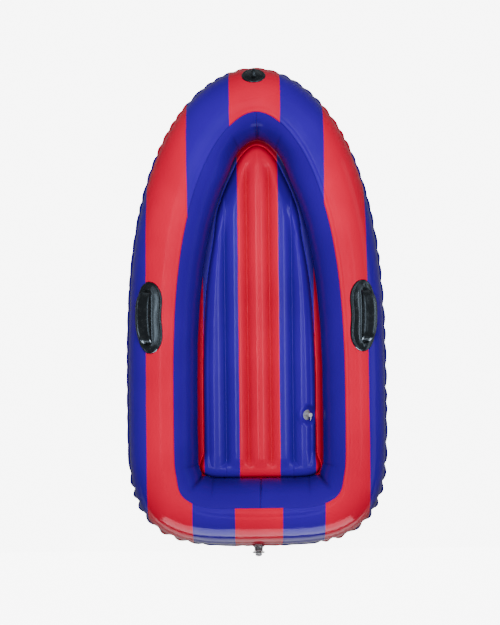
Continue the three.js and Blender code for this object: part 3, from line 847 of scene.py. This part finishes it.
def handle_grip(name, node, side):
    """The grip: a strap with rolled edges that arches over the foot."""
    s = np.linspace(-1, 1, 160)[:, None]
    turn = np.linspace(0, 2 * math.pi, 56, endpoint=False)[None, :]
    rise = 5.5 + (GRIP_RISE - 3) * (1 - np.abs(s) ** 6)
    half_width = 19.5 - 3 * np.abs(s) ** 3
    across = np.sign(np.cos(turn)) * np.abs(np.cos(turn)) ** 0.7
    outer_bead = 2.0 * bell(across - 0.76, 0.17)
    inner_bead = 0.5 * bell(across + 0.84, 0.14)
    hollow = 0.35 * bell(across, 0.5)
    thick = np.sign(np.sin(turn)) * np.abs(np.sin(turn)) ** 0.8
    thick = thick * 2.6 * (1 + outer_bead + inner_bead - hollow)
    x = side * (HANDLE_X + 11.5 - 7 * s * s + half_width * across)
    y = HANDLE_Y - HANDLE_AFT + s * GRIP_HALF_LENGTH + 0 * across
    points = above_hull(x, y, rise + 2.7 + thick)
    return finish_piece(loft(name, points, black_pvc), "black_moulding", node)


def loft(name, sections, material):
    """A closed body from rows of closed sections, with flat ends."""
    rows, columns = sections.shape[:2]
    i = np.arange(rows - 1)[:, None]
    j = np.arange(columns)[None, :]
    after = (j + 1) % columns
    quads = np.stack(np.broadcast_arrays(
        i * columns + j, i * columns + after, (i + 1) * columns + after,
        (i + 1) * columns + j), -1).reshape(-1, 4)
    points = sections.reshape(-1, 3)
    middles = np.stack([sections[0].mean(0), sections[-1].mean(0)])
    points = np.concatenate([points, middles])
    first, last = rows * columns, rows * columns + 1
    base = (rows - 1) * columns
    around = list(zip(range(columns), after[0].tolist()))
    faces = quads.tolist()
    faces += [[first, b, a] for a, b in around]
    faces += [[last, base + a, base + b] for a, b in around]
    if signed_volume(points, quads) < 0:
        faces = [face[::-1] for face in faces]
    return make_object(name, points, faces, [material])


def bow_pad():
    """The round pad on the bow: a rolled rim and a raised middle under the rope eye."""
    turn = np.linspace(0, 2 * math.pi, 120, endpoint=False)[:, None]
    share = np.concatenate([np.linspace(0.02, 0.8, 20), np.linspace(0.83, 1, 14)])[None, :]
    from_edge = (1 - share) * 40
    raised = 2.6 + 1.5 * bell(from_edge - 4.5, 2.2) + 0.8 * smooth(share, 0.7, 0.3)
    height = rolled_edge(from_edge, 3.5) * raised
    x = share * PATCH_HALF[0] * np.cos(turn)
    y = PATCH_Y + share * PATCH_HALF[1] * np.sin(turn)
    return fitting("bow_pad", "bow_patch", x, y, np.maximum(height, 0.3), ring=True)


def sweep(path, across, half_width, half_height, sides=28):
    """Sections of oval shape square to a path; across is the direction of half_width."""
    path = np.asarray(path, float)
    tangent = unit(np.gradient(path, axis=0))
    across = unit(np.asarray(across, float))
    lift = unit(np.cross(tangent, across))
    turn = np.linspace(0, 2 * math.pi, sides, endpoint=False)
    wide = np.cos(turn)[None, :, None] * across * np.reshape(half_width, (-1, 1, 1))
    high = np.sin(turn)[None, :, None] * lift[:, None] * np.reshape(half_height, (-1, 1, 1))
    return path[:, None] + wide + high


def rope_eye():
    """A moulded loop that stands along the boat, open from side to side."""
    base = above_hull(0.0, PATCH_Y, 4.6)
    ahead = unit(above_hull(0.0, PATCH_Y + 4, 4.6) - above_hull(0.0, PATCH_Y - 4, 4.6))
    up = np.cross((1, 0, 0), ahead)
    sunk = 0.12  # radians by which the loop's ends run on into the pad
    angle = np.linspace(-sunk, math.pi + sunk, 60)
    along, high = 13 * np.cos(angle), 6 + 13.5 * np.sin(angle)
    path = base + along[:, None] * ahead + high[:, None] * up
    foot = bell(np.minimum(angle + sunk, math.pi + sunk - angle), 0.35)
    loop = sweep(path, (1, 0, 0), 6.6 + 3 * foot, 4.6 + 1.5 * foot)
    return finish_piece(loft("bow_rope_eye", loop, black_pvc), "black_moulding",
                        "bow_rope_loop")


# ---- valves -----------------------------------------------------------------------------


def rounded(profile, radius, steps=4):
    """A closed profile with its corners turned into small curves."""
    profile = np.asarray(profile, float)
    result = []
    for before, corner, after in zip(np.roll(profile, 1, 0), profile, np.roll(profile, -1, 0)):
        if corner[0] < 1e-6:
            result.append(corner)
            continue
        room = 0.45 * min(np.linalg.norm(before - corner), np.linalg.norm(after - corner))
        cut = min(radius, room)
        start = corner + unit(before - corner) * cut
        end = corner + unit(after - corner) * cut
        for t in np.linspace(0, 1, steps):
            result.append((1 - t) ** 2 * start + 2 * t * (1 - t) * corner + t * t * end)
    return np.array(result)


def turned(name, profile, place, material, corner, segments=72):
    """A turned body: a closed profile of (radius, height) about a placed axis, with its
    corners rounded."""
    line = rounded(profile, corner)
    on_axis = line[:, 0] < 1e-6
    if on_axis.any():
        start = np.flatnonzero(on_axis & ~np.roll(on_axis, -1))[0]
        line = np.roll(line, -start, 0)
    turn = np.linspace(0, 2 * math.pi, segments, endpoint=False)
    points, index = [], []
    for r, z in line:
        if r < 1e-6:
            index.append([len(points)] * segments)
            points.append((0, 0, z))
        else:
            index.append(list(range(len(points), len(points) + segments)))
            points += [(r * math.cos(a), r * math.sin(a), z) for a in turn]
    faces = []
    for low, high in zip(index, index[1:] + index[:1]):
        for k in range(segments):
            n = (k + 1) % segments
            ring = list(dict.fromkeys([low[k], low[n], high[n], high[k]]))
            if len(ring) > 2:
                faces.append(ring)
    points = place(np.array(points))
    quads = np.array([face + face[-1:] * (4 - len(face)) for face in faces])
    if signed_volume(points, quads) < 0:
        faces = [face[::-1] for face in faces]
    return make_object(name, points, faces, [material])


def joint(name):
    return next(j for j in frame["joints"] if j["name"] == name)


def valve_axes(slide, hinge, reach, drop):
    """A valve's origin and its X, Y and Z axes, from its joints: the flap's hinge is reach
    off the valve's axis along Y and drop below the origin."""
    axis = unit(np.array(joint(slide)["axis"], float))
    side = unit(np.array(joint(hinge)["axis"], float))
    up = np.cross(axis, side)
    at = np.array(joint(hinge)["pos_m"]) / MM - (0, HULL_Y, 0)
    return at - reach * up + drop * axis, side, up, axis


def valve_place(*where):
    """A function that puts a valve's local points on the boat."""
    origin, side, up, axis = valve_axes(*where)

    def place(points):
        return origin + points @ np.stack([side, up, axis])

    return place


def moulding(name, node, profile, place, material, slot, radius=0.6, body="boat"):
    """A turned piece of a valve, on its body and in place of its CAD node."""
    obj = turned(name, profile, place, material, radius)
    return finish_piece(obj, slot, node, body=body)


def stern_valve():
    """Profiles are (radius, height) in mm, from the neck's foot."""
    place = valve_place(*STERN_VALVE)
    neck = [(13.2, 0), (23, 0), (23.5, 2.4), (20, 5), (16.6, 9), (15.8, 17), (16.8, 18.2),
            (16.8, 19), (13.2, 19)]
    tube_in_neck = [(9, -9), (7, -9), (7, -11), (12.9, -11), (12.9, 19.3), (17.5, 19.3),
                    (17.5, 22.5), (9, 22.5)]
    washer = [(9, 22.8), (20.8, 22.8), (22.6, 24), (22.8, 27.6), (21.2, 29.4), (9, 29.4)]
    cap = [(0, 8), (7.9, 8), (8.7, 9.4), (8.7, 29.7), (13.2, 29.7), (13.2, 33), (12.4, 36.5),
           (10.4, 39.4), (6, 41.4), (0, 42)]
    # The neck's dark tint is painted shade round its foot.
    moulding("stern_neck", "stern_valve_neck", neck, place, neck_grey_and_shadow_pvc, "clear_moulding")
    moulding("stern_body_tube", "stern_valve_body", tube_in_neck, place, clear_pvc,
             "clear_moulding", 0.4, body="stern_body")
    moulding("stern_washer", "stern_valve_seal", washer, place, black_rubber, "black_rubber",
             body="stern_cap")
    moulding("stern_cap_plug", "stern_valve_cap", cap, place, clear_pvc, "clear_moulding",
             1.0, body="stern_cap")


def floor_valve():
    """Profiles are (radius, height) in mm, from the disc's underside."""
    place = valve_place(*FLOOR_VALVE)

    def laid(points):
        sunk = points.copy()
        sunk[:, 2] -= points[:, 0] ** 2 / (2 * DISC_BEND_RADIUS)
        return place(sunk)

    disc = [(9.6, 0), (20, 0), (20, 0.7), (14, 1.2), (12, 1.8), (11.4, 3), (9.6, 3)]
    stem = [(6, -6), (9.3, -6), (9.3, 13), (9.1, 15.5), (8.4, 18), (6, 18)]
    plug = [(0, 10), (5, 10), (5.7, 11.5), (5.7, 18.3), (9, 18.3), (9, 20.2), (5, 21),
            (0, 20.6)]
    moulding("floor_disc", "floor_valve_disc", disc, laid, frosted_pvc, "clear_moulding", 0.4)
    moulding("floor_stem_tube", "floor_valve_stem", stem, place, frosted_pvc,
             "clear_moulding", 0.7, body="floor_stem")
    moulding("floor_plug_cap", "floor_valve_plug", plug, place, white_pvc, "white_moulding",
             0.7, body="floor_plug")
    share = np.linspace(0, 1, 40)
    path = np.stack([0 * share, -9 - 12 * share, 18.8 + 5 * share - 7.6 * share ** 2], -1)
    band = sweep(path, (1, 0, 0), np.full(len(share), 2.5), np.full(len(share), 0.7))
    band = place(band.reshape(-1, 3)).reshape(band.shape)
    finish_piece(loft("floor_plug_strap", band, white_pvc), "white_moulding",
                 "floor_valve_strap", body="floor_plug")


# ---- camera, floor and light ------------------------------------------------------------

CAMERA_LENS = 60.05
CAMERA_PLACE = (-0.023, -0.010, 4.133)
CAMERA_ROLL = -0.65  # degrees

PAPER_GLOW = 7.5  # the backdrop shows as white paper, and lights the boat no more for it
WORLD_LIGHT = 0.09
# Each sheet of paper: its name, two corners, height and tone. The paler one is what the
# stern mirrors.
PAPERS = (("studio_floor", (-9, -9), (9, 9), -0.0008, 0.22),
          ("studio_sheet", (-1.6, -3.2), (1.6, -0.95), -0.0004, 0.80))

# Each light: its name, place, aim, sizes, power, and whether it lights surfaces and shows
# in reflections. The last five only draw the long highlights on the film.
LIGHTS = (
    ("key", (-0.1, 0.5, 3.3), (-0.1, 0.3, 0), (1.8, 1.6), 112, True, False),
    ("overhead_box", (1.17, 1.0, 2.75), (1.17, 1.0, 0), (3.85, 4.1), 20, True, True),
    ("port_strip", (-0.62, -0.1, 2.7), (-0.62, -0.1, 0), (0.3, 1.7), 4.2, False, True),
    ("starboard_strip", (1.35, -0.1, 2.7), (1.35, -0.1, 0), (0.5, 1.7), 6, False, True),
    ("starboard_wall", (3.0, 0, 0.9), (0, 0, 0.9), (4.0, 1.0), 14, False, True),
    ("aft_wall", (0.0, -1.42, 0.46), (0, 0, 0.46), (1.7, 0.42), 26, False, True),
    ("aft_floor", (0.0, -1.6, 0.01), (0, -1.6, 1.0), (2.0, 0.8), 14, False, True),
)


def add_camera():
    """The photograph's view, straight down."""
    data = bpy.data.cameras.new("camera")
    data.sensor_fit = "VERTICAL"
    data.sensor_height = 36
    data.lens = CAMERA_LENS
    camera = bpy.data.objects.new("camera", data)
    camera.location = CAMERA_PLACE
    camera.rotation_euler = (0, 0, math.radians(CAMERA_ROLL))
    bpy.context.scene.collection.objects.link(camera)
    bpy.context.scene.camera = camera


def seen_directly(tree):
    """1 for what the camera sees, and 0 for what the boat mirrors or is lit by."""
    return tree.nodes.new("ShaderNodeLightPath").outputs["Is Camera Ray"]


def add_papers():
    for name, low, high, level, tone in PAPERS:
        paper = bpy.data.meshes.new(name)
        corners = [(low[0], low[1], 0), (high[0], low[1], 0), (high[0], high[1], 0),
                   (low[0], high[1], 0)]
        paper.from_pydata(corners, [], [(0, 1, 2, 3)])
        s = Shader(name)
        s.set(Base_Color=(tone,) * 3, Roughness=0.9, Emission_Color=(1, 1, 1))
        s.set(Emission_Strength=s.math("MULTIPLY", seen_directly(s.tree), PAPER_GLOW))
        paper.materials.append(s.material)
        sheet = bpy.data.objects.new(name, paper)
        sheet.location.z = level
        bpy.context.scene.collection.objects.link(sheet)


def add_world():
    world = bpy.data.worlds.new("studio")
    world.use_nodes = True
    tree = world.node_tree
    background = tree.nodes["Background"]
    glow = tree.nodes.new("ShaderNodeMath")
    glow.operation = "MULTIPLY_ADD"
    glow.inputs[1].default_value = PAPER_GLOW
    glow.inputs[2].default_value = WORLD_LIGHT
    tree.links.new(seen_directly(tree), glow.inputs[0])
    tree.links.new(glow.outputs[0], background.inputs[1])
    background.inputs[0].default_value = (1, 1, 1, 1)
    bpy.context.scene.world = world


def add_lights():
    for name, place, aim, sizes, power, shines, mirrored in LIGHTS:
        data = bpy.data.lights.new(name, "AREA")
        data.shape = "RECTANGLE"
        data.size, data.size_y = sizes
        data.energy = power
        lamp = bpy.data.objects.new(name, data)
        lamp.location = place
        lamp.visible_camera = False
        lamp.visible_diffuse = shines
        lamp.visible_glossy = mirrored
        direction = Vector(aim) - Vector(place)
        lamp.rotation_euler = direction.to_track_quat("-Z", "Y").to_euler()
        bpy.context.scene.collection.objects.link(lamp)


# ---- assembly ---------------------------------------------------------------------------

add_camera()
add_papers()
add_world()
add_lights()
top_skin()
bottom_skin()
for side_name, side in (("starboard", 1), ("port", -1)):
    inner_wall(f"inner_wall_{side_name}", f"hull_inner_panel_{side_name}", side)
floor_mat()
for side_name, side in (("port", -1), ("starboard", 1)):
    handle_foot(f"foot_{side_name}", f"handle_foot_{side_name}", side)
    handle_grip(f"grip_{side_name}", f"handle_grip_{side_name}", side)
bow_pad()
rope_eye()
stern_valve()
floor_valve()

for node in ("floor_web_1", "floor_web_2", "floor_web_3", "floor_web_4"):
    frame["nodes"][node].data.materials[0] = plain_blue
for node in ("stern_valve_flap", "floor_valve_flap"):
    frame["nodes"][node].data.materials[0] = clear_pvc
